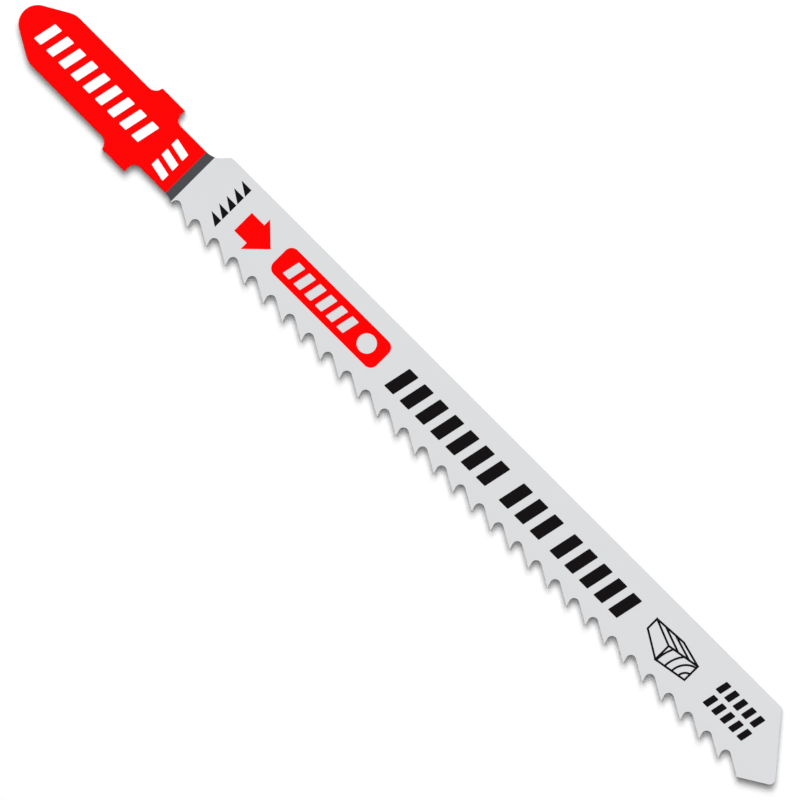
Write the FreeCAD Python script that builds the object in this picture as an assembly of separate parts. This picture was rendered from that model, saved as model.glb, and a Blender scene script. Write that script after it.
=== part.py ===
# Reverse-cut jigsaw blade with a T-shank, made as one piece of hardened strip steel.
# It lies on its side. +X runs from the shank's tip to the nose, +Y to the plain back edge and
# +Z up through the thickness. The origin is on the shank's centreline and the lower face, level
# with the lugs' front corners.
# Lengths are in millimetres and angles in degrees.

import FreeCAD
import Part
import math
import os

# Strip
thickness = 1.3
edge_break = 0.05  # left along the stamped edges of the shank, the neck and the back

# Shank, from its tip to the lugs
shank_length = 14.27  # from the tip to the lugs' front corners
shank_width = 6.3
tip_angle = 30.0  # of each tip flank to the blade's axis
tip_radius = 1.8
flank_radius = 2.1  # where a tip flank runs into the shank's side

# Lugs
lug_length = 2.96
lug_width = 8.0
lug_front_angle = 72.0  # of the faces towards the shank's tip, to the blade's axis
lug_front_fillet = 0.94
lug_back_fillet = 0.75

# Neck and the slope up to the back edge
neck_length = 5.03  # from the lugs to the foot of the slope
neck_width = 5.4
slope_angle = 49.0
slope_fillet = 1.9
shoulder_radius = 0.8

# Body
overall_length = 100.4
back_height = 4.01  # of the back edge over the shank's centreline
body_width = 7.54  # from the back edge to the tips of the teeth

# Nose
chin_length = 2.81  # from the last tooth's tip to the foremost point of the nose
chin_angle = 31.5  # of the nose's underside to the blade's axis
nose_angle = 50.0  # of the nose's front edge to the blade's axis
nose_radius = 0.54

# Teeth, pointing to the nose
tooth_pitch = 2.5
toothed_length = 72.5  # from the first tip to the last
rake_angle = 17.0  # of the cutting face, forward of square
relief_angle = 30.0  # of the tooth's back to the blade's axis
gullet_radius = 0.49

# Side grinding, which thins the unset blade behind its teeth
tooth_land = 1.6  # from the tips to where the taper starts, at the strip's full thickness
back_grind = 0.15  # off each side at the back edge
grind_start = 12.2  # from the lugs' front corners to where the grinding has its full depth
wheel_radius = 60.0

# Places that follow from the sizes
nose_tip_x = overall_length - shank_length
neck_x = lug_length
slope_x = neck_x + neck_length
tip_line = back_height - body_width
last_tip_x = nose_tip_x - chin_length
land_line = tip_line + tooth_land
tooth_count = math.floor(toothed_length / tooth_pitch + 0.5) + 1
cutter_overrun = thickness  # how far every cutter reaches past the steel
least_run = 1.2 * edge_break  # stays straight between two rounds, so that its rims can be broken


def tan(angle):
    """Tangent of an angle in degrees."""
    return math.tan(math.radians(angle))


def sin(angle):
    """Sine of an angle in degrees."""
    return math.sin(math.radians(angle))


def cos(angle):
    """Cosine of an angle in degrees."""
    return math.cos(math.radians(angle))


def rounded_outline(corners):
    """Closed wire through (x, y, radius) corners. A radius is limited by the runs beside it."""
    count = len(corners)
    points = [FreeCAD.Vector(x, y, 0) for x, y, radius in corners]
    halves = []
    setbacks = []
    for i in range(count):
        to_last = points[i - 1] - points[i]
        to_next = points[(i + 1) % count] - points[i]
        halves.append(to_last.getAngle(to_next) / 2)
        setbacks.append(corners[i][2] / math.tan(halves[i]))
    for i in range(count):
        run = points[i].distanceToPoint(points[i - 1])
        wanted = setbacks[i] + setbacks[i - 1]
        share = min(1.0, (run - least_run) / max(wanted, least_run))
        setbacks[i] *= share
        setbacks[i - 1] *= share
    edges = []
    leaves = []
    for i in range(count):
        to_last = (points[i - 1] - points[i]).normalize()
        to_next = (points[(i + 1) % count] - points[i]).normalize()
        enter = points[i] + to_last * setbacks[i]
        leave = points[i] + to_next * setbacks[i]
        if setbacks[i] > 0:
            radius = setbacks[i] * math.tan(halves[i])
            inwards = (to_last + to_next).normalize()
            middle = points[i] + inwards * (radius / math.sin(halves[i]) - radius)
            edges.append(Part.Arc(enter, middle, leave).toShape())
        leaves.append((enter, leave))
    for i in range(count):
        start = leaves[i - 1][1]
        end = leaves[i][0]
        edges.append(Part.makeLine(start, end))
    return Part.Wire(Part.__sortEdges__(edges))


def plate(corners, bottom, height):
    """Flat plate with a rounded outline, from the level bottom up to height above it."""
    solid = Part.Face(rounded_outline(corners)).extrude(FreeCAD.Vector(0, 0, height))
    solid.translate(FreeCAD.Vector(0, 0, bottom))
    return solid


def shank_apex_x():
    """Where the tip flanks would meet. The round tip cuts this corner off at the shank's length."""
    return -shank_length - tip_radius * (1 / sin(tip_angle) - 1)


def shank_side(side):
    """Corners of one side of the shank, from its tip to the lugs' back face. side is 1 or -1."""
    half_shank = shank_width / 2
    half_lug = lug_width / 2
    flank_x = shank_apex_x() + half_shank / tan(tip_angle)
    root_x = -(half_lug - half_shank) / tan(lug_front_angle)
    return [
        (flank_x, side * half_shank, flank_radius),
        (root_x, side * half_shank, lug_front_fillet),
        (0, side * half_lug, 0),
        (lug_length, side * half_lug, 0),
        (lug_length, side * neck_width / 2, lug_back_fillet),
    ]


def nose_corners():
    """Corners of the nose, from the back edge round to the last tooth's tip."""
    # The nose's round touches its front edge, its underside and the plane of the blade's end.
    round_x = nose_tip_x - nose_radius
    round_y = tip_line + ((round_x - last_tip_x) * sin(chin_angle) + nose_radius) / cos(chin_angle)
    front_x = round_x + nose_radius * sin(nose_angle)
    front_y = round_y + nose_radius * cos(nose_angle)
    back_x = front_x - (back_height - front_y) / tan(nose_angle)
    # The front edge and the underside would meet in a sharp corner outside the round.
    front_drop = tan(nose_angle) * (front_x - last_tip_x) + front_y - tip_line
    corner_run = front_drop / (tan(chin_angle) + tan(nose_angle))
    corner_y = tip_line + corner_run * tan(chin_angle)
    return [
        (back_x, back_height, 0),
        (last_tip_x + corner_run, corner_y, nose_radius),
        (last_tip_x, tip_line, 0),
    ]


def stamped_blank():
    """The blank as it is stamped, with a straight edge where the teeth will be."""
    half_neck = neck_width / 2
    shoulder_x = slope_x + (back_height - half_neck) / tan(slope_angle)
    tooth_edge_x = slope_x - (half_neck + tip_line) / tan(slope_angle)
    corners = [(shank_apex_x(), 0, tip_radius)]
    corners += shank_side(1)
    corners.append((slope_x, half_neck, slope_fillet))
    corners.append((shoulder_x, back_height, shoulder_radius))
    corners += nose_corners()
    corners.append((tooth_edge_x, tip_line, 0))
    corners.append((slope_x, -half_neck, slope_fillet))
    corners += reversed(shank_side(-1))
    return break_stamped_edges(plate(corners, 0, thickness))


def break_stamped_edges(blank):
    """Chamfers both rims of the shank, the neck and the back, and leaves the tooth edge sharp."""
    chosen = []
    for edge in blank.Edges:
        box = edge.BoundBox
        flat = box.ZLength < edge_break / 2
        at_teeth = box.XMax > slope_x and box.YMax < -neck_width / 2 - edge_break
        at_nose = box.XMax > last_tip_x + edge_break
        at_back = box.YMin > back_height - edge_break
        if flat and (at_back or not (at_teeth or at_nose)):
            chosen.append(edge)
    return blank.makeChamfer(edge_break, chosen)


def gullet(tip_x):
    """Cutter for the gap behind one tooth: its relief, the round root and the next cutting face."""
    root_rise = tooth_pitch / (1 / tan(relief_angle) - tan(rake_angle))
    root_x = tip_x - root_rise / tan(relief_angle)
    corners = [
        (tip_x - tooth_pitch + cutter_overrun * tan(rake_angle), tip_line - cutter_overrun, 0),
        (root_x, tip_line + root_rise, gullet_radius),
        (tip_x + cutter_overrun / tan(relief_angle), tip_line - cutter_overrun, 0),
    ]
    return plate(corners, -cutter_overrun, thickness + 2 * cutter_overrun)


def on_wheel(rise):
    """Point of the grinding wheel's round front at this height over its lowest line."""
    run = math.sqrt(rise * (2 * wheel_radius - rise))
    return FreeCAD.Vector(grind_start - run, tip_line, rise)


def wheel_sweep():
    """What the grinding wheel sweeps out of the upper side, with its round run-out at the neck."""
    far_x = nose_tip_x + cutter_overrun
    far_low = FreeCAD.Vector(far_x, tip_line, 0)
    far_high = FreeCAD.Vector(far_x, tip_line, cutter_overrun)
    low = on_wheel(0)
    high = on_wheel(cutter_overrun)
    front = Part.Arc(low, on_wheel(cutter_overrun / 4), high).toShape()
    top = Part.makeLine(high, far_high)
    end = Part.makeLine(far_high, far_low)
    bottom = Part.makeLine(far_low, low)
    section = Part.Face(Part.Wire([front, top, end, bottom]))
    sweep = section.extrude(FreeCAD.Vector(0, body_width + cutter_overrun, 0))
    taper = math.degrees(math.atan(back_grind / (back_height - land_line)))
    sweep.rotate(FreeCAD.Vector(0, land_line, 0), FreeCAD.Vector(1, 0, 0), -taper)
    sweep.translate(FreeCAD.Vector(0, 0, thickness))
    return sweep


def build_blade():
    """The finished blade: blank, gullets and both ground sides."""
    blade = stamped_blank()
    tips = [last_tip_x - tooth_pitch * i for i in range(tooth_count)]
    blade = blade.cut([gullet(tip_x) for tip_x in tips])
    upper = wheel_sweep()
    middle = FreeCAD.Vector(0, 0, thickness / 2)
    lower = upper.mirror(middle, FreeCAD.Vector(0, 0, 1))
    blade = blade.cut([upper, lower])
    return blade.Solids[0]


os.makedirs("parts", exist_ok=True)
build_blade().exportStep("parts/blade.step")
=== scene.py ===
"""Looks of a reverse-cut jigsaw blade with a T-shank, lying on its side on a pale floor.

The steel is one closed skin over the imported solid, with a finish for each zone: a red coat from the
shank's tip to the neck, a dark band, a light-grey coat on the body, bare ground steel in the gullets
and bare stamped steel on the other edges. The print is thin ink in pieces of its own: plain bars, a
row of teeth, an arrow, a panel and a beam. All lengths are in metres, and a point of the blade's
plane is a complex number, X + Yj.
"""

import cmath
import logging
import math
from collections.abc import Callable, Sequence
from dataclasses import dataclass
from enum import Enum
from typing import Self

import bmesh
import bpy
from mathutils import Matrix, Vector
from mathutils.geometry import delaunay_2d_cdt

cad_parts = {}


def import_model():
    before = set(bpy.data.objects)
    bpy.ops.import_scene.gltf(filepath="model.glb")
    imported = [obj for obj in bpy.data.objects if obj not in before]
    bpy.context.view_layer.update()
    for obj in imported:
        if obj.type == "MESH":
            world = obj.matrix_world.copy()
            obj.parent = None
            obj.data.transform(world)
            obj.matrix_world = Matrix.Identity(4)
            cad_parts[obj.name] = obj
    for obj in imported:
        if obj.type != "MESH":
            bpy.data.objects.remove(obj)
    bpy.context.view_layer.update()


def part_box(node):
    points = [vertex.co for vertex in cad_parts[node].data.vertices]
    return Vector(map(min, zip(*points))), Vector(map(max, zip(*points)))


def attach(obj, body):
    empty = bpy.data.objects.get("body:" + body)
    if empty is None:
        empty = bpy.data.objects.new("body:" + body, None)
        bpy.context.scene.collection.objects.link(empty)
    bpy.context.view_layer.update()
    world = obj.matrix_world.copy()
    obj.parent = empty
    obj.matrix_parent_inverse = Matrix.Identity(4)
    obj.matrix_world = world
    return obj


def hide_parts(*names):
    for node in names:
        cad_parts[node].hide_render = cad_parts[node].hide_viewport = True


Outline = list[complex]
Colour = tuple[float, float, float]
Scale = tuple[float, float, float]
Side = tuple[int, int]
Pair = tuple[bmesh.types.BMVert, bmesh.types.BMVert]

MM = 0.001
NODE = "blade"
BODY = "root"
ROUND_STEP = math.radians(5)  # turn of one chord along a round
SHARP_ANGLE = math.radians(30)  # a steeper edge stays sharp in the shading
MERGE_DISTANCE = 0.0002 * MM  # points closer than this are one point
TRIANGLES_EVERYWHERE = 0  # asks for triangles inside and outside of the outlines
CLOUD_LAYERS = 2.0  # finer layers of noise in the clouding of a coat
GRAIN_LAYERS = 1.0  # and in its grain
LINE_LAYERS = 3.0  # and in the lines of ground steel
LINE_CONTRAST = (0.35, 0.65)  # noise that gives a ground line its darkest and its lightest shade

log = logging.getLogger("jigsaw_blade")


def unit(run: complex) -> complex:
    """Direction of a run, with length 1."""
    return run / abs(run)


@dataclass(frozen=True)
class Corner:
    """A corner of an outline, with the radius that rounds it."""

    x: float
    y: float
    radius: float = 0.0

    @property
    def place(self) -> complex:
        """The corner's place before it is rounded."""
        return complex(self.x, self.y)


def rounded(corners: Sequence[Corner]) -> Outline:
    """Makes a closed outline whose rounds are short chords.

    Args:
        corners: The outline's corners in order.

    Returns:
        The outline's points.
    """
    outline: Outline = []
    for i, corner in enumerate(corners):
        here = corner.place
        if corner.radius == 0:
            outline.append(here)
            continue
        back = unit(corners[i - 1].place - here)
        onward = unit(corners[(i + 1) % len(corners)].place - here)
        half = abs(cmath.phase(onward / back)) / 2
        setback = corner.radius / math.tan(half)
        centre = here + unit(back + onward) * corner.radius / math.sin(half)
        spoke = here + back * setback - centre
        sweep = cmath.phase((here + onward * setback - centre) / spoke)
        steps = math.ceil(abs(sweep) / ROUND_STEP)
        outline += [centre + spoke * cmath.rect(1, sweep * k / steps) for k in range(steps + 1)]
    return outline


def anticlockwise(outline: Outline) -> Outline:
    """The same outline, run with its inside to the left."""
    area = sum((a.conjugate() * b).imag for a, b in zip(outline, outline[1:] + outline[:1]))
    return outline if area > 0 else outline[::-1]


def disc(centre: complex, radius: float) -> Outline:
    """Outline of a disc."""
    steps = round(2 * math.pi / ROUND_STEP)
    return [centre + cmath.rect(radius, 2 * math.pi * k / steps) for k in range(steps)]


def pen_line(places: Sequence[complex], width: float) -> Outline:
    """Makes the outline of a pen line with mitred joints and square ends.

    Args:
        places: The places that the line joins, two or more.
        width: How wide the line is.

    Returns:
        The outline.
    """
    half = width / 2
    runs = [unit(end - start) for start, end in zip(places, places[1:])]
    spots = [places[0] - half * runs[0], *places[1:-1], places[-1] + half * runs[-1]]
    joints = [before + after for before, after in zip([runs[0], *runs], [*runs, runs[-1]])]
    offsets = [width * 1j * joint / abs(joint) ** 2 for joint in joints]
    left = [spot + offset for spot, offset in zip(spots, offsets)]
    right = [spot - offset for spot, offset in zip(spots, offsets)]
    return left + right[::-1]


class Pattern:
    """Flat pattern in triangles: what lies in some outlines and in none of the cut-outs."""

    def __init__(
        self,
        outlines: Sequence[Outline],
        cut_outs: Sequence[Outline] = (),
        creases: Sequence[Outline] = (),
    ) -> None:
        """Divides the pattern into triangles.

        Args:
            outlines: What the pattern covers. They may overlap.
            cut_outs: What is cut out of it. They may reach past it.
            creases: Lines that the triangles' sides follow.
        """
        points: Outline = []
        loops: list[list[int]] = []
        lines: list[tuple[int, int]] = []
        for loop in [*outlines, *cut_outs]:
            loops.append(list(range(len(points), len(points) + len(loop))))
            points += anticlockwise(loop)
        for crease in creases:
            first = len(points)
            lines += [(first + k, first + k + 1) for k in range(len(crease) - 1)]
            points += crease
        flat = [Vector((point.real, point.imag)) for point in points]
        places, _, faces, _, _, sources = delaunay_2d_cdt(
            flat, lines, loops, TRIANGLES_EVERYWHERE, MERGE_DISTANCE, True
        )
        self.points: Outline = [complex(*place) for place in places]
        self.triangles: list[list[int]] = []
        waste: list[list[int]] = []
        first_cut_out = len(outlines)
        for face, loops_round_it in zip(faces, sources):
            if min(loops_round_it, default=first_cut_out) < first_cut_out:
                is_waste = max(loops_round_it) >= first_cut_out
                (waste if is_waste else self.triangles).append(face)
        self.sides: set[Side] = self.sides_of(self.triangles)
        self.waste_sides: set[Side] = self.sides_of(waste)

    def sides_of(self, triangles: list[list[int]]) -> set[Side]:
        """The sides of some triangles, each with its triangle to its left."""
        return {(triangle[k - 1], triangle[k]) for triangle in triangles for k in range(3)}

    def border(self) -> list[Side]:
        """The sides that border the pattern, each with the pattern to its left."""
        return sorted(side for side in self.sides if side[::-1] not in self.sides)

    def is_cut(self, side: Side) -> bool:
        """Whether a border side was made by a cut-out."""
        return side[::-1] in self.waste_sides

    def middle(self, side: Side) -> complex:
        """The middle of a side."""
        return (self.points[side[0]] + self.points[side[1]]) / 2


class Tree:
    """Short ways to add to the nodes of a material or a node group."""

    def __init__(self, tree: bpy.types.NodeTree) -> None:
        """Takes the tree to add to."""
        self.tree = tree

    def add(self, kind: str, **settings: object) -> bpy.types.Node:
        """Adds a node.

        Args:
            kind: The node's type.
            **settings: Properties of the node.

        Returns:
            The node.
        """
        node = self.tree.nodes.new(kind)
        for name, value in settings.items():
            setattr(node, name, value)
        return node

    def link(self, source: bpy.types.NodeSocket, target: bpy.types.NodeSocket) -> None:
        """Joins two sockets."""
        self.tree.links.new(source, target)

    def maths(self, operation: str, *terms: bpy.types.NodeSocket | float) -> bpy.types.NodeSocket:
        """Adds a Math node.

        Args:
            operation: What it works out.
            *terms: A socket or a number for each input.

        Returns:
            The node's output.
        """
        node = self.add("ShaderNodeMath", operation=operation)
        for term, target in zip(terms, node.inputs):
            if isinstance(term, bpy.types.NodeSocket):
                self.link(term, target)
            else:
                target.default_value = term
        return node.outputs[0]

    def noise(
        self,
        place: bpy.types.NodeSocket,
        scale: bpy.types.NodeSocket | float,
        detail: float,
    ) -> bpy.types.NodeSocket:
        """Adds a noise texture.

        Args:
            place: Where the noise is looked up.
            scale: Its lumps per metre.
            detail: How many finer layers it has.

        Returns:
            The noise, from 0 to 1.
        """
        node = self.add("ShaderNodeTexNoise")
        node.inputs["Detail"].default_value = detail
        self.link(place, node.inputs["Vector"])
        if isinstance(scale, bpy.types.NodeSocket):
            self.link(scale, node.inputs["Scale"])
        else:
            node.inputs["Scale"].default_value = scale
        return node.outputs["Fac"]


class GroupMaker:
    """Makes a node group with named sockets."""

    def __init__(self, name: str) -> None:
        """Makes the empty group."""
        self.group = bpy.data.node_groups.new(name, "ShaderNodeTree")
        self.tree = Tree(self.group)

    def take(self, name: str, kind: str, value: float | Sequence[float]) -> None:
        """Adds an input.

        Args:
            name: The input's name.
            kind: Its socket type without the NodeSocket prefix.
            value: What it has where nothing else is set.
        """
        sockets = self.group.interface
        socket = sockets.new_socket(name, in_out="INPUT", socket_type="NodeSocket" + kind)
        socket.default_value = value

    def give(self, name: str, kind: str) -> None:
        """Adds an output.

        Args:
            name: The output's name.
            kind: Its socket type without the NodeSocket prefix.
        """
        self.group.interface.new_socket(name, in_out="OUTPUT", socket_type="NodeSocket" + kind)


def fine_grain() -> bpy.types.NodeTree:
    """Builds the slight clouding and the fine, soft grain of a thin coat.

    Returns:
        A node group that gives a colour, a roughness and a height.
    """
    maker = GroupMaker("fine_grain")
    maker.take("Colour", "Color", (0.8, 0.8, 0.8, 1.0))
    maker.take("Clouding", "Float", 0.03)
    maker.take("Cloud size", "Float", 3 * MM)
    maker.take("Grain size", "Float", 0.2 * MM)
    maker.take("Roughness", "Float", 0.4)
    maker.take("Roughness spread", "Float", 0.1)
    maker.give("Colour", "Color")
    maker.give("Roughness", "Float")
    maker.give("Height", "Float")
    tree = maker.tree
    given = tree.add("NodeGroupInput").outputs
    result = tree.add("NodeGroupOutput").inputs
    place = tree.add("ShaderNodeTexCoord").outputs["Object"]
    clouds = tree.noise(place, tree.maths("DIVIDE", 1.0, given["Cloud size"]), CLOUD_LAYERS)
    grain = tree.noise(place, tree.maths("DIVIDE", 1.0, given["Grain size"]), GRAIN_LAYERS)
    cloud_swing = tree.maths("SUBTRACT", clouds, 0.5)
    grain_swing = tree.maths("SUBTRACT", grain, 0.5)
    tint = tree.add("ShaderNodeVectorMath", operation="SCALE")
    tree.link(given["Colour"], tint.inputs["Vector"])
    tree.link(tree.maths("MULTIPLY_ADD", cloud_swing, given["Clouding"], 1.0), tint.inputs["Scale"])
    tree.link(tint.outputs["Vector"], result["Colour"])
    spread = tree.maths("MULTIPLY_ADD", grain_swing, given["Roughness spread"], given["Roughness"])
    tree.link(spread, result["Roughness"])
    tree.link(grain, result["Height"])
    return maker.group


def grinding_lines() -> bpy.types.NodeTree:
    """Builds the fine scratches that a grinding wheel leaves.

    Returns:
        A node group that gives a height and a mask.
    """
    maker = GroupMaker("grinding_lines")
    maker.take("Lines per metre", "Vector", (60.0, 9000.0, 9000.0))
    maker.give("Height", "Float")
    maker.give("Mask", "Float")
    tree = maker.tree
    result = tree.add("NodeGroupOutput").inputs
    stretch = tree.add("ShaderNodeVectorMath", operation="MULTIPLY")
    tree.link(tree.add("ShaderNodeTexCoord").outputs["Object"], stretch.inputs[0])
    tree.link(tree.add("NodeGroupInput").outputs["Lines per metre"], stretch.inputs[1])
    lines = tree.noise(stretch.outputs["Vector"], 1.0, LINE_LAYERS)
    tree.link(lines, result["Height"])
    contrast = tree.add("ShaderNodeMapRange", clamp=True)
    contrast.inputs["From Min"].default_value = LINE_CONTRAST[0]
    contrast.inputs["From Max"].default_value = LINE_CONTRAST[1]
    tree.link(lines, contrast.inputs["Value"])
    tree.link(contrast.outputs["Result"], result["Mask"])
    return maker.group


class Effect(Enum):
    """A surface effect that several finishes share. Its value is its node group's name."""

    FINE_GRAIN = "fine_grain"
    GRINDING_LINES = "grinding_lines"

    def placed(self, tree: Tree) -> bpy.types.Node:
        """Places the effect in a material.

        Args:
            tree: The material's nodes.

        Returns:
            The group's node there.
        """
        makers: dict[Effect, Callable[[], bpy.types.NodeTree]] = {
            Effect.FINE_GRAIN: fine_grain,
            Effect.GRINDING_LINES: grinding_lines,
        }
        group = bpy.data.node_groups.get(self.value) or makers[self]()
        return tree.add("ShaderNodeGroup", node_tree=group)


def new_material(name: str) -> tuple[bpy.types.Material, Tree, bpy.types.Node]:
    """Makes a material with a Principled BSDF.

    Args:
        name: The material's name.

    Returns:
        The material, its nodes and its shader.
    """
    material = bpy.data.materials.new(name)
    material.use_nodes = True
    return material, Tree(material.node_tree), material.node_tree.nodes["Principled BSDF"]


def add_bump(
    tree: Tree,
    shader: bpy.types.Node,
    height: bpy.types.NodeSocket,
    depth: float,
) -> None:
    """Raises a shader's surface.

    Args:
        tree: The material's nodes.
        shader: The shader.
        height: The surface's height, from 0 to 1.
        depth: What a height of 1 stands for.
    """
    bump = tree.add("ShaderNodeBump")
    bump.inputs["Distance"].default_value = depth
    tree.link(height, bump.inputs["Height"])
    tree.link(bump.outputs["Normal"], shader.inputs["Normal"])


@dataclass(frozen=True)
class Coat:
    """A thin satin coat of paint or ink. Its colour is linear."""

    name: str
    colour: Colour
    roughness: float
    specular: float
    roughness_swing: float = 0.25  # how much the roughness varies, as a share of it
    clouding: float = 0.02
    grain_size: float = 0.16 * MM
    grain_depth: float = 0.0008 * MM
    scratch_share: float = 0.5  # depth of the lines of the steel below, as a share of the grain's
    scratches: Scale = (60.0, 9000.0, 9000.0)

    def material(self) -> bpy.types.Material:
        """Makes the coat's material.

        Returns:
            The material.
        """
        material, tree, shader = new_material(self.name)
        shader.inputs["Specular IOR Level"].default_value = self.specular
        grain = Effect.FINE_GRAIN.placed(tree)
        grain.inputs["Colour"].default_value = (*self.colour, 1.0)
        grain.inputs["Clouding"].default_value = self.clouding
        grain.inputs["Grain size"].default_value = self.grain_size
        grain.inputs["Roughness"].default_value = self.roughness
        grain.inputs["Roughness spread"].default_value = self.roughness * self.roughness_swing
        tree.link(grain.outputs["Colour"], shader.inputs["Base Color"])
        tree.link(grain.outputs["Roughness"], shader.inputs["Roughness"])
        lines = Effect.GRINDING_LINES.placed(tree)
        lines.inputs["Lines per metre"].default_value = self.scratches
        scratch = lines.outputs["Height"]
        height = tree.maths("MULTIPLY_ADD", scratch, self.scratch_share, grain.outputs["Height"])
        add_bump(tree, shader, height, self.grain_depth)
        return material


@dataclass(frozen=True)
class BareSteel:
    """Bare steel with the fine lines of the tool that cut it. Its colours are linear."""

    name: str
    dark: Colour = (0.5, 0.5, 0.51)
    light: Colour = (0.75, 0.75, 0.76)
    low_roughness: float = 0.24
    high_roughness: float = 0.42
    line_depth: float = 0.0012 * MM
    lines: Scale = (14000.0, 14000.0, 500.0)

    def material(self) -> bpy.types.Material:
        """Makes the bare steel's material.

        Returns:
            The material.
        """
        material, tree, shader = new_material(self.name)
        shader.inputs["Metallic"].default_value = 1.0
        lines = Effect.GRINDING_LINES.placed(tree)
        lines.inputs["Lines per metre"].default_value = self.lines
        shades = tree.add("ShaderNodeValToRGB")
        shades.color_ramp.elements[0].color = (*self.dark, 1.0)
        shades.color_ramp.elements[1].color = (*self.light, 1.0)
        tree.link(lines.outputs["Mask"], shades.inputs["Fac"])
        tree.link(shades.outputs["Color"], shader.inputs["Base Color"])
        spread = self.high_roughness - self.low_roughness
        rough = tree.maths("MULTIPLY_ADD", lines.outputs["Mask"], spread, self.low_roughness)
        tree.link(rough, shader.inputs["Roughness"])
        add_bump(tree, shader, lines.outputs["Height"], self.line_depth)
        return material


class Zone(Enum):
    """A zone of the steel's surface. Its value is the place of its material on the skin."""

    RED = 0
    BAND = 1
    GREY = 2
    GROUND = 3
    STAMPED = 4


class Ink(Enum):
    """An ink of the print. Its value is the record's slot for it."""

    BLACK = "black_ink"
    WHITE = "white_ink"
    RED = "red_coat"


ZONE_FINISHES: dict[Zone, Coat | BareSteel] = {
    Zone.RED: Coat("red_coat", (0.846, 0.0, 0.0), roughness=0.6, specular=0.02),
    Zone.BAND: Coat("dark_band", (0.0535, 0.055, 0.0605), roughness=0.6, specular=0.08),
    Zone.GREY: Coat("light_grey_coat", (0.599, 0.604, 0.615), roughness=0.5, specular=0.15),
    Zone.GROUND: BareSteel("ground_steel"),
    Zone.STAMPED: BareSteel(
        "stamped_steel",
        dark=(0.3, 0.3, 0.305),
        light=(0.48, 0.48, 0.485),
        low_roughness=0.4,
        high_roughness=0.6,
    ),
}
INK_FINISHES: dict[Ink, Coat] = {
    Ink.BLACK: Coat("black_ink", (0.003, 0.002, 0.0025), roughness=0.65, specular=0.05),
    Ink.WHITE: Coat("white_ink", (0.875, 0.875, 0.875), roughness=0.65, specular=0.05),
    Ink.RED: Coat("red_ink", (0.846, 0.0, 0.0), roughness=0.65, specular=0.02),
}


def new_piece(
    name: str,
    mesh: bmesh.types.BMesh,
    materials: list[bpy.types.Material],
) -> bpy.types.Object:
    """Turns a mesh into a piece that rides on the blade's body.

    Args:
        name: The piece's name.
        mesh: Its faces. It is freed.
        materials: Its materials, in the order of the faces' indices.

    Returns:
        The piece.
    """
    data = bpy.data.meshes.new(name)
    mesh.normal_update()
    mesh.to_mesh(data)
    mesh.free()
    data.set_sharp_from_angle(angle=SHARP_ANGLE)
    for material in materials:
        data.materials.append(material)
    piece = bpy.data.objects.new(name, data)
    bpy.context.scene.collection.objects.link(piece)
    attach(piece, BODY)
    log.info("%s: %d faces", name, len(data.polygons))
    return piece


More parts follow.
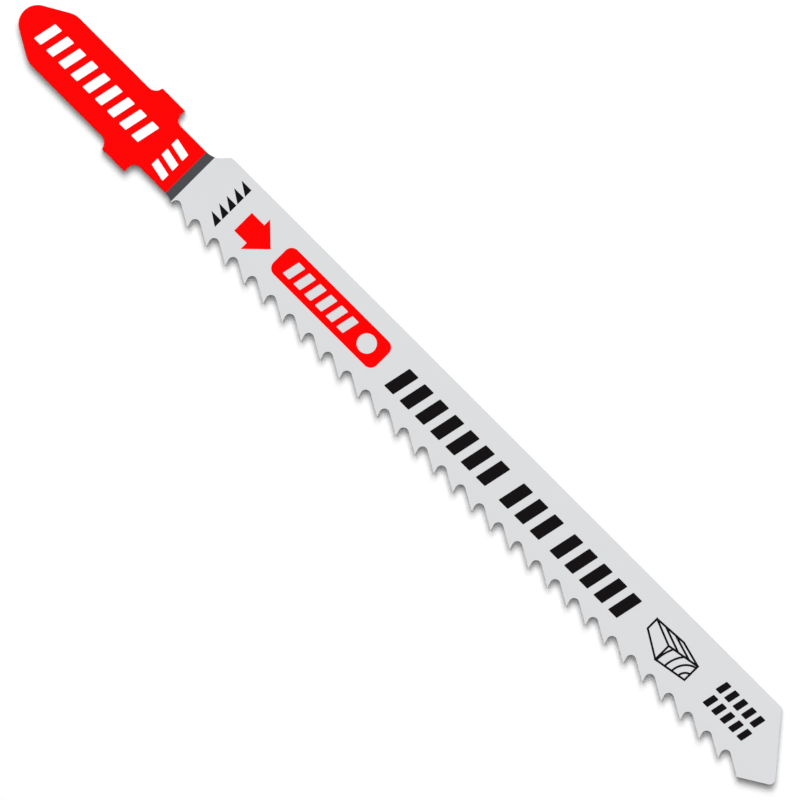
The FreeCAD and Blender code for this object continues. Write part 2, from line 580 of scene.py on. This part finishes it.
@dataclass(frozen=True)
class Blade:
    """The coated steel, with the ends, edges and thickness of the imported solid."""

    shank_tip_x: float
    nose_tip_x: float
    back_y: float
    half_lugs: float
    thickness: float
    edge_break: float = 0.05 * MM
    shank_width: float = 6.3 * MM
    tip_angle: float = math.radians(30)
    tip_radius: float = 1.8 * MM
    flank_radius: float = 2.1 * MM
    lug_length: float = 2.96 * MM
    lug_front_angle: float = math.radians(72)
    lug_front_fillet: float = 0.94 * MM
    lug_back_fillet: float = 0.75 * MM
    neck_length: float = 5.03 * MM
    neck_width: float = 5.4 * MM
    slope_angle: float = math.radians(49)
    slope_fillet: float = 1.9 * MM
    shoulder_radius: float = 0.8 * MM
    body_width: float = 7.54 * MM
    chin_length: float = 2.81 * MM
    chin_angle: float = math.radians(31.5)
    nose_angle: float = math.radians(50)
    nose_radius: float = 0.54 * MM
    tooth_pitch: float = 2.5 * MM
    tooth_count: int = 30
    rake_angle: float = math.radians(17)
    relief_angle: float = math.radians(30)
    gullet_radius: float = 0.49 * MM
    tooth_land: float = 1.6 * MM
    back_grind: float = 0.15 * MM
    grind_start: float = 12.2 * MM
    wheel_radius: float = 60 * MM
    runout_step: float = 0.3 * MM
    red_end: float = 7.1 * MM
    band_end: float = 7.99 * MM

    @classmethod
    def around(cls, node: str) -> Self:
        """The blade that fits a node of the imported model."""
        low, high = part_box(node)
        return cls(
            shank_tip_x=low.x,
            nose_tip_x=high.x,
            back_y=high.y,
            half_lugs=-low.y,
            thickness=high.z,
        )

    @property
    def slope_x(self) -> float:
        """Where the neck ends and the slopes up to the body start."""
        return self.lug_length + self.neck_length

    @property
    def tip_line(self) -> float:
        """Y of the tooth tips."""
        return self.back_y - self.body_width

    @property
    def last_tip_x(self) -> float:
        """X of the tooth nearest to the nose."""
        return self.nose_tip_x - self.chin_length

    @property
    def land_line(self) -> float:
        """Y where the side grinding starts."""
        return self.tip_line + self.tooth_land

    @property
    def taper(self) -> float:
        """How steeply the ground sides slope towards the back edge."""
        return self.back_grind / (self.back_y - self.land_line)

    def wheel_rise(self, x: float) -> float:
        """How far the grinding wheel's round front stands over its lowest line."""
        short = max(0.0, self.grind_start - x)
        return self.wheel_radius - math.sqrt(self.wheel_radius**2 - short**2)

    def ground_off(self, point: complex) -> float:
        """How much the side grinding takes off each side at a point."""
        return max(0.0, self.taper * (point.imag - self.land_line) - self.wheel_rise(point.real))

    def top(self, point: complex) -> float:
        """Z of the upper side at a point."""
        return self.thickness - self.ground_off(point)

    def shank_side(self, side: int) -> list[Corner]:
        """Corners of one side of the shank, from its tip to the lugs' back face.

        Args:
            side: 1 or -1.

        Returns:
            The corners.
        """
        half_shank = self.shank_width / 2
        flank_x = self.apex_x() + half_shank / math.tan(self.tip_angle)
        root_x = -(self.half_lugs - half_shank) / math.tan(self.lug_front_angle)
        return [
            Corner(flank_x, side * half_shank, self.flank_radius),
            Corner(root_x, side * half_shank, self.lug_front_fillet),
            Corner(0, side * self.half_lugs),
            Corner(self.lug_length, side * self.half_lugs),
            Corner(self.lug_length, side * self.neck_width / 2, self.lug_back_fillet),
        ]

    def apex_x(self) -> float:
        """Where the shank's tip flanks would meet if the tip weren't round."""
        return self.shank_tip_x - self.tip_radius * (1 / math.sin(self.tip_angle) - 1)

    def nose(self) -> list[Corner]:
        """Works out the nose, from the back edge round to the last tooth's tip.

        Returns:
            Its corners.
        """
        chin_rise = math.tan(self.chin_angle)
        front_rise = math.tan(self.nose_angle)
        round_x = self.nose_tip_x - self.nose_radius
        round_y = self.tip_line + (round_x - self.last_tip_x) * chin_rise
        round_y += self.nose_radius / math.cos(self.chin_angle)
        front = complex(round_x, round_y)
        front += cmath.rect(self.nose_radius, math.pi / 2 - self.nose_angle)
        back_x = front.real - (self.back_y - front.imag) / front_rise
        drop = front_rise * (front.real - self.last_tip_x) + front.imag - self.tip_line
        run = drop / (chin_rise + front_rise)
        return [
            Corner(back_x, self.back_y),
            Corner(self.last_tip_x + run, self.tip_line + run * chin_rise, self.nose_radius),
            Corner(self.last_tip_x, self.tip_line),
        ]

    def blank(self) -> Outline:
        """Makes the blank as it is stamped, before the teeth are cut.

        Returns:
            Its outline.
        """
        half_neck = self.neck_width / 2
        shoulder_x = self.slope_x + (self.back_y - half_neck) / math.tan(self.slope_angle)
        tooth_edge_x = self.slope_x - (half_neck + self.tip_line) / math.tan(self.slope_angle)
        return rounded(
            [
                Corner(self.apex_x(), 0, self.tip_radius),
                *self.shank_side(1),
                Corner(self.slope_x, half_neck, self.slope_fillet),
                Corner(shoulder_x, self.back_y, self.shoulder_radius),
                *self.nose(),
                Corner(tooth_edge_x, self.tip_line),
                Corner(self.slope_x, -half_neck, self.slope_fillet),
                *reversed(self.shank_side(-1)),
            ]
        )

    def gullet(self, tip_x: float) -> Outline:
        """Makes the cut behind a tooth: its relief, the round root and the next cutting face.

        Args:
            tip_x: X of the tooth's tip.

        Returns:
            The outline, which reaches past the tips by the strip's thickness.
        """
        reach = self.thickness
        rise = self.tooth_pitch / (1 / math.tan(self.relief_angle) - math.tan(self.rake_angle))
        root_x = tip_x - rise / math.tan(self.relief_angle)
        face_x = tip_x - self.tooth_pitch + reach * math.tan(self.rake_angle)
        return rounded(
            [
                Corner(face_x, self.tip_line - reach),
                Corner(root_x, self.tip_line + rise, self.gullet_radius),
                Corner(tip_x + reach / math.tan(self.relief_angle), self.tip_line - reach),
            ]
        )

    def creases(self) -> list[Outline]:
        """Draws lines on the sides: between the zones, and where the ground sides start and bend.

        Returns:
            The points of each line.
        """
        lines = [
            [complex(x, -self.half_lugs), complex(x, self.half_lugs)]
            for x in (self.red_end, self.band_end)
        ]
        edge = [complex(self.nose_tip_x, self.land_line)]
        x = self.grind_start
        while edge[-1].imag < self.back_y:
            edge.append(complex(x, self.land_line + self.wheel_rise(x) / self.taper))
            lines.append([edge[-1], complex(x, max(self.back_y, edge[-1].imag) + self.edge_break)])
            x -= self.runout_step
        return [*lines, edge]

    def zone(self, x: float) -> Zone:
        """Finds the coat at a place along the blade.

        Args:
            x: The place.

        Returns:
            The coat's zone.
        """
        if x < self.red_end:
            return Zone.RED
        return Zone.BAND if x < self.band_end else Zone.GREY

    def is_broken(self, pattern: Pattern, side: Side) -> bool:
        """Whether a border side has its rims broken, as all stamped ones before the nose have."""
        return not pattern.is_cut(side) and pattern.middle(side).real < self.nose()[0].x

    def rim_shifts(self, pattern: Pattern) -> dict[int, complex]:
        """Works out how far the points of the border move inwards for the broken rims.

        Args:
            pattern: The blade's pattern.

        Returns:
            The shift of each point that moves.
        """
        inward: dict[int, list[complex]] = {}
        along: dict[int, complex] = {}
        for side in pattern.border():
            start, end = side
            run = unit(pattern.points[end] - pattern.points[start])
            if self.is_broken(pattern, side):
                for point in side:
                    inward.setdefault(point, []).append(run * 1j)
            else:
                along[start] = run
                along[end] = -run
        shifts: dict[int, complex] = {}
        for point, normals in inward.items():
            depth = self.edge_break - self.ground_off(pattern.points[point])
            if depth <= 0:
                continue
            if len(normals) == 2:
                both = normals[0] + normals[1]
                shifts[point] = depth * 2 * both / abs(both) ** 2
            else:
                run = along[point]
                shifts[point] = depth * run / (run * normals[0].conjugate()).real
        return shifts

    def build(self) -> bpy.types.Object:
        """Makes the blade's skin: both sides, the walls between them and the broken rims.

        Returns:
            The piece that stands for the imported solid.
        """
        tips = [self.last_tip_x - self.tooth_pitch * k for k in range(self.tooth_count)]
        gullets = [self.gullet(tip_x) for tip_x in tips]
        pattern = Pattern([self.blank()], gullets, self.creases())
        shifts = self.rim_shifts(pattern)
        mesh = bmesh.new()
        rims: dict[int, Pair] = {}
        walls: dict[int, Pair] = {}
        for i in sorted({i for triangle in pattern.triangles for i in triangle}):
            point = pattern.points[i]
            rims[i] = walls[i] = self.new_pair(mesh, point + shifts.get(i, 0), 0.0)
            if i in shifts:
                walls[i] = self.new_pair(mesh, point, self.edge_break)
        for triangle in pattern.triangles:
            centre = sum(pattern.points[i] for i in triangle) / 3
            zone = self.zone(centre.real)
            self.new_face(mesh, [rims[i][1] for i in triangle], zone)
            self.new_face(mesh, [rims[i][0] for i in reversed(triangle)], zone)
        for side in pattern.border():
            a, b = side
            bare = Zone.GROUND if pattern.is_cut(side) else Zone.STAMPED
            wall = [walls[a][0], walls[b][0], walls[b][1], walls[a][1]]
            low_rim = [rims[a][0], rims[b][0], walls[b][0], walls[a][0]]
            high_rim = [walls[a][1], walls[b][1], rims[b][1], rims[a][1]]
            if self.is_broken(pattern, side):
                coat = self.zone(pattern.middle(side).real)
                self.new_face(mesh, low_rim, coat, smooth=True)
                self.new_face(mesh, wall, bare, smooth=True)
                self.new_face(mesh, high_rim, coat, smooth=True)
            else:
                down = [rims[a][0], rims[b][0], walls[b][0]]
                up = [walls[b][1], rims[b][1], rims[a][1]]
                self.new_face(mesh, [*down, *up, walls[a][1], walls[a][0]], bare, smooth=True)
        materials = [ZONE_FINISHES[zone].material() for zone in Zone]
        piece = new_piece("coated_blade", mesh, materials)
        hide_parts(NODE)
        return piece

    def new_pair(self, mesh: bmesh.types.BMesh, point: complex, least: float) -> Pair:
        """Adds a point of the lower side and the one over it.

        Args:
            mesh: The mesh to add to.
            point: Where they are.
            least: How far they lie inside the strip's faces at least.

        Returns:
            The lower and the upper point.
        """
        depth = max(least, self.ground_off(point))
        low = mesh.verts.new((point.real, point.imag, depth))
        high = mesh.verts.new((point.real, point.imag, self.thickness - depth))
        return low, high

    def new_face(
        self,
        mesh: bmesh.types.BMesh,
        ring: list[bmesh.types.BMVert],
        zone: Zone,
        smooth: bool = False,
    ) -> None:
        """Adds a face, unless its ring has shrunk to a line.

        Args:
            mesh: The mesh to add to.
            ring: Its corners, some of which may be the same.
            zone: Its finish.
            smooth: Whether it is shaded as part of a round.
        """
        corners = list(dict.fromkeys(ring))
        if len(corners) > 2:
            face = mesh.faces.new(corners)
            face.material_index = zone.value
            face.smooth = smooth


@dataclass(frozen=True)
class Field:
    """A rectangle of the upper side that a mark fills. A turned one reads from low to high Y."""

    left: float
    right: float
    low: float
    high: float
    turned: bool = False

    @property
    def length(self) -> float:
        """Its size along the reading direction."""
        return self.high - self.low if self.turned else self.right - self.left

    @property
    def height(self) -> float:
        """Its size across the reading direction."""
        return self.right - self.left if self.turned else self.high - self.low

    def spot(self, along: float, up: float) -> complex:
        """Finds a place in the field.

        Args:
            along: How far it lies along the reading direction.
            up: How far it lies above the foot of what is read.

        Returns:
            The place.
        """
        if self.turned:
            return complex(self.right - up, self.low + along)
        return complex(self.left + along, self.low + up)

    def shape(self, corners: Sequence[tuple[float, float]], radius: float = 0.0) -> Outline:
        """Makes an outline from corners in the field.

        Args:
            corners: How far along and up each corner is.
            radius: What rounds them.

        Returns:
            The outline.
        """
        spots = [self.spot(along, up) for along, up in corners]
        return rounded([Corner(spot.real, spot.imag, radius) for spot in spots])


@dataclass(frozen=True)
class BarRow:
    """A row of leaning bars that fills a field."""

    field: Field
    count: int
    share: float = 0.6  # of the row's pitch that a bar takes
    lean: float = math.radians(12)  # from square
    corner_radius: float = 0.08 * MM

    def outlines(self) -> list[Outline]:
        """Makes the bars.

        Returns:
            Their outlines.
        """
        height = self.field.height
        run = height * math.tan(self.lean)
        pitch = (self.field.length - run) / (self.count - 1 + self.share)
        bars: list[Outline] = []
        for k in range(self.count):
            start = k * pitch
            end = start + self.share * pitch
            corners = [(start, 0), (end, 0), (end + run, height), (start + run, height)]
            bars.append(self.field.shape(corners, self.corner_radius))
        return bars


@dataclass(frozen=True)
class ToothRow:
    """A row of saw teeth that fills a field."""

    field: Field
    count: int
    share: float = 0.86  # of the row's pitch that a tooth takes

    def outlines(self) -> list[Outline]:
        """Makes the teeth.

        Returns:
            Their outlines.
        """
        pitch = self.field.length / self.count
        teeth: list[Outline] = []
        for k in range(self.count):
            start = k * pitch
            end = start + self.share * pitch
            teeth.append(self.field.shape([(start, 0), (end, 0), (end, self.field.height)]))
        return teeth


@dataclass(frozen=True)
class Arrow:
    """An arrow that fills a field and points along its reading direction."""

    field: Field
    shaft_share: float = 0.45  # of the arrow's length that the shaft takes
    barb_share: float = 0.2  # of the arrow's height that the head stands out by on each side

    def outline(self) -> Outline:
        """Makes the arrow.

        Returns:
            Its outline.
        """
        length, height = self.field.length, self.field.height
        neck = self.shaft_share * length
        barb = self.barb_share * height
        return self.field.shape(
            [
                (0, barb),
                (neck, barb),
                (neck, 0),
                (length, height / 2),
                (neck, height),
                (neck, height - barb),
                (0, height - barb),
            ]
        )


@dataclass(frozen=True)
class Panel:
    """A panel of ink with round corners, which leaves a row of bars and a disc bare."""

    field: Field = Field(18.8 * MM, 32.4 * MM, -0.94 * MM, 2.23 * MM)
    corner_radius: float = 0.8 * MM
    bars: BarRow = BarRow(Field(20.1 * MM, 28.4 * MM, -0.26 * MM, 1.51 * MM), count=6)
    disc_centre: complex = (30.3 + 0.64j) * MM
    disc_radius: float = 0.95 * MM

    def outline(self) -> Outline:
        """Outline of the whole panel."""
        length, height = self.field.length, self.field.height
        return self.field.shape([(0, 0), (length, 0), (length, height), (0, height)], self.corner_radius)

    def windows(self) -> list[Outline]:
        """Outlines of what it leaves bare."""
        return [*self.bars.outlines(), disc(self.disc_centre, self.disc_radius)]


@dataclass(frozen=True)
class Mark:
    """One piece of ink on the blade's upper side."""

    name: str
    ink: Ink
    outlines: list[Outline]
    cut_outs: Sequence[Outline] = ()
    thickness: float = 0.01 * MM
    sunk: float = 0.02 * MM  # how far it reaches into the coat, so that it has no gap under it

    def build(self, blade: Blade, material: bpy.types.Material) -> bpy.types.Object:
        """Lays the ink on the blade.

        Args:
            blade: The blade that it lies on.
            material: The ink's finish.

        Returns:
            The piece.
        """
        pattern = Pattern(self.outlines, self.cut_outs)
        mesh = bmesh.new()
        low: dict[int, bmesh.types.BMVert] = {}
        high: dict[int, bmesh.types.BMVert] = {}
        for i in sorted({i for triangle in pattern.triangles for i in triangle}):
            point = pattern.points[i]
            level = blade.top(point)
            low[i] = mesh.verts.new((point.real, point.imag, level - self.sunk))
            high[i] = mesh.verts.new((point.real, point.imag, level + self.thickness))
        for triangle in pattern.triangles:
            mesh.faces.new([high[i] for i in triangle])
            mesh.faces.new([low[i] for i in reversed(triangle)])
        for a, b in pattern.border():
            mesh.faces.new([low[a], low[b], high[b], high[a]])
        return new_piece(self.name, mesh, [material])


@dataclass(frozen=True)
class BeamSign:
    """Line drawing of a sawn wooden beam, with its end grain to the right."""

    foot: complex = (70.18 - 1.16j) * MM  # of the upright edge between the end and the side
    end_width: complex = (3.28 + 0.56j) * MM
    end_height: complex = 1.77j * MM
    length: complex = (-2.55 + 1.02j) * MM
    far_width: complex = (3.33 + 0.2j) * MM
    far_height: complex = 1.24j * MM
    line_width: float = 0.2 * MM
    grain_shares: tuple[float, ...] = (0.33, 0.7)
    ring_shares: tuple[float, ...] = (0.21, 0.44, 0.68, 0.97)
    ring_stretch: float = 2.0  # height of a growth ring to its width, as shares of the end
    ring_steps: int = 12

    def outlines(self) -> list[Outline]:
        """Draws the beam's edges, the grain along it and the growth rings on its end.

        Returns:
            The outlines of the pen lines.
        """
        top = self.foot + self.end_height
        right = self.foot + self.end_width
        far_top = top + self.length
        lines = [
            [top, self.foot, right, right + self.end_height],
            [self.foot, far_top - self.far_height, far_top, top, right + self.end_height],
            [far_top, far_top + self.far_width, right + self.end_height],
        ]
        for share in self.grain_shares:
            lines.append([far_top + share * self.far_width, top + share * self.end_width])
        for share in self.ring_shares:
            lines.append(self.ring(right, share))
        return [pen_line(line, self.line_width) for line in lines]

    def ring(self, centre: complex, share: float) -> list[complex]:
        """Draws a growth ring, from the foot of the end up to its side or its top edge.

        Args:
            centre: The corner that the rings lie round.
            share: How much of the end's width the ring reaches over.

        Returns:
            The points of its line.
        """
        rise = share * self.ring_stretch
        last = math.asin(1 / max(1.0, rise))
        places: list[complex] = []
        for k in range(self.ring_steps + 1):
            turn = last * k / self.ring_steps
            across = share * math.cos(turn) * self.end_width
            places.append(centre - across + rise * math.sin(turn) * self.end_height)
        return places


def bars_of(rows: Sequence[BarRow]) -> list[Outline]:
    """Outlines of the bars of several rows."""
    return [bar for row in rows for bar in row.outlines()]


@dataclass(frozen=True)
class ShankPrint:
    """White marks on the red coat."""

    shank_bars: BarRow = BarRow(
        Field(-11.8 * MM, 2.4 * MM, -1.17 * MM, 1.16 * MM), count=9, share=0.55
    )
    neck_bars: BarRow = BarRow(
        Field(4.3 * MM, 6.1 * MM, -2.11 * MM, 1.67 * MM, turned=True), count=3
    )

    def marks(self) -> list[Mark]:
        """The marks, bars along the shank and bars across the neck."""
        return [
            Mark("white_shank_bars", Ink.WHITE, self.shank_bars.outlines()),
            Mark("white_neck_bars", Ink.WHITE, self.neck_bars.outlines()),
        ]


@dataclass(frozen=True)
class BodyPrint:
    """Black and red marks on the light-grey coat."""

    tooth_row: ToothRow = ToothRow(
        Field(11.3 * MM, 12.6 * MM, -1.7 * MM, 3.28 * MM, turned=True), count=5
    )
    arrow: Arrow = Arrow(Field(14.1 * MM, 17.75 * MM, -1.44 * MM, 2.46 * MM))
    panel: Panel = Panel()
    use_bars: tuple[BarRow, ...] = (
        BarRow(Field(34.2 * MM, 48.1 * MM, -0.99 * MM, 1.81 * MM), count=7),
        BarRow(Field(49.3 * MM, 55.2 * MM, -0.99 * MM, 1.81 * MM), count=3),
        BarRow(Field(56.0 * MM, 65.5 * MM, -0.99 * MM, 1.81 * MM), count=5),
    )
    beam_sign: BeamSign = BeamSign()
    nose_bars: tuple[BarRow, ...] = (
        BarRow(Field(76.1 * MM, 81.5 * MM, 0.83 * MM, 2.09 * MM), count=5),
        BarRow(Field(76.1 * MM, 81.5 * MM, -0.89 * MM, 0.37 * MM), count=5),
    )

    def marks(self) -> list[Mark]:
        """The marks, from the neck to the nose."""
        return [
            Mark("black_tooth_row", Ink.BLACK, self.tooth_row.outlines()),
            Mark("red_arrow", Ink.RED, [self.arrow.outline()]),
            Mark("red_panel", Ink.RED, [self.panel.outline()], self.panel.windows()),
            Mark("black_use_bars", Ink.BLACK, bars_of(self.use_bars)),
            Mark("black_beam_sign", Ink.BLACK, self.beam_sign.outlines()),
            Mark("black_nose_bars", Ink.BLACK, bars_of(self.nose_bars)),
        ]


@dataclass(frozen=True)
class SoftLamp:
    """A large soft lamp, so far off that it lights the whole blade alike."""

    name: str
    elevation: float
    size: float  # as seen from the blade
    strength: float

    def hang(self, side: float) -> None:
        """Hangs the lamp over the blade.

        Args:
            side: Angle from +X to the side that the lamp hangs on.
        """
        light = bpy.data.lights.new(self.name, "SUN")
        light.angle = self.size
        light.energy = self.strength
        lamp = bpy.data.objects.new(self.name, light)
        heading = cmath.rect(math.cos(self.elevation), side)
        towards = Vector((heading.real, heading.imag, math.sin(self.elevation)))
        lamp.rotation_euler = towards.to_track_quat("Z", "Y").to_euler()
        bpy.context.scene.collection.objects.link(lamp)


@dataclass(frozen=True)
class Studio:
    """The pale floor, the soft lamps and the camera over the blade."""

    centre: complex = (36.226 - 0.894j) * MM  # of the picture
    picture_width: float = 74.641 * MM
    picture_turn: float = math.radians(45)  # of the picture's right from +X
    sensor: float = 36.0  # in millimetres, as Blender counts it
    lens: float = 1000.0  # in millimetres too, long enough to look square on everywhere
    clip_ratio: float = 10.0  # how much nearer and further than the blade the camera sees
    floor_half: float = 3.0
    floor_gap: float = 0.02 * MM
    floor_colour: Colour = (0.86, 0.86, 0.86)
    floor_roughness: float = 0.9
    high_lamp: SoftLamp = SoftLamp(
        name="high_lamp", elevation=math.radians(76), size=math.radians(44), strength=2.115
    )
    low_lamp: SoftLamp = SoftLamp(
        name="low_lamp", elevation=math.radians(60), size=math.radians(30), strength=1.58
    )
    fill_strength: float = 0.08

    def build(self, top: float) -> None:
        """Sets up everything round the blade.

        Args:
            top: Z of the blade's upper side, where the picture has its scale.
        """
        bpy.context.scene.view_settings.view_transform = "Standard"
        self.lay_floor()
        for lamp in (self.high_lamp, self.low_lamp):
            lamp.hang(self.picture_turn + math.pi / 2)  # towards the picture's upper edge
        self.set_fill_light()
        self.place_camera(top)

    def lay_floor(self) -> None:
        """Lays the floor just under the blade."""
        mesh = bmesh.new()
        half = self.floor_half
        corners = [(-half, -half), (half, -half), (half, half), (-half, half)]
        mesh.faces.new([mesh.verts.new((x, y, -self.floor_gap)) for x, y in corners])
        data = bpy.data.meshes.new("floor")
        mesh.to_mesh(data)
        mesh.free()
        material, _, shader = new_material("matt_floor")
        shader.inputs["Specular IOR Level"].default_value = 0.0
        shader.inputs["Roughness"].default_value = self.floor_roughness
        shader.inputs["Base Color"].default_value = (*self.floor_colour, 1.0)
        data.materials.append(material)
        floor = bpy.data.objects.new("floor", data)
        bpy.context.scene.collection.objects.link(floor)

    def set_fill_light(self) -> None:
        """Lights the blade evenly from all round. The camera sees plain white there."""
        world = bpy.data.worlds.new("studio")
        world.use_nodes = True
        tree = Tree(world.node_tree)
        fill = world.node_tree.nodes["Background"]
        fill.inputs["Color"].default_value = (1.0, 1.0, 1.0, 1.0)
        path = tree.add("ShaderNodeLightPath")
        seen = path.outputs["Is Camera Ray"]
        strength = tree.maths("MULTIPLY_ADD", seen, 1.0 - self.fill_strength, self.fill_strength)
        tree.link(strength, fill.inputs["Strength"])
        bpy.context.scene.world = world

    def place_camera(self, top: float) -> None:
        """Places the camera, which looks straight down.

        Args:
            top: Z of the level that the picture's width is measured at.
        """
        data = bpy.data.cameras.new("camera")
        data.lens = self.lens
        data.sensor_width = self.sensor
        distance = self.picture_width * self.lens / self.sensor
        data.clip_start = distance / self.clip_ratio
        data.clip_end = distance * self.clip_ratio
        camera = bpy.data.objects.new("camera", data)
        camera.location = (self.centre.real, self.centre.imag, top + distance)
        camera.rotation_euler = (0.0, 0.0, self.picture_turn)
        bpy.context.scene.collection.objects.link(camera)
        bpy.context.scene.camera = camera


def main() -> None:
    """Builds the blade, its print and the studio."""
    logging.basicConfig(level=logging.INFO, format="%(name)s %(message)s")
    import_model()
    blade = Blade.around(NODE)
    blade.build()
    inks = {ink: finish.material() for ink, finish in INK_FINISHES.items()}
    for mark in [*ShankPrint().marks(), *BodyPrint().marks()]:
        mark.build(blade, inks[mark.ink])
    Studio().build(blade.thickness)


if __name__ == "__main__":
    main()
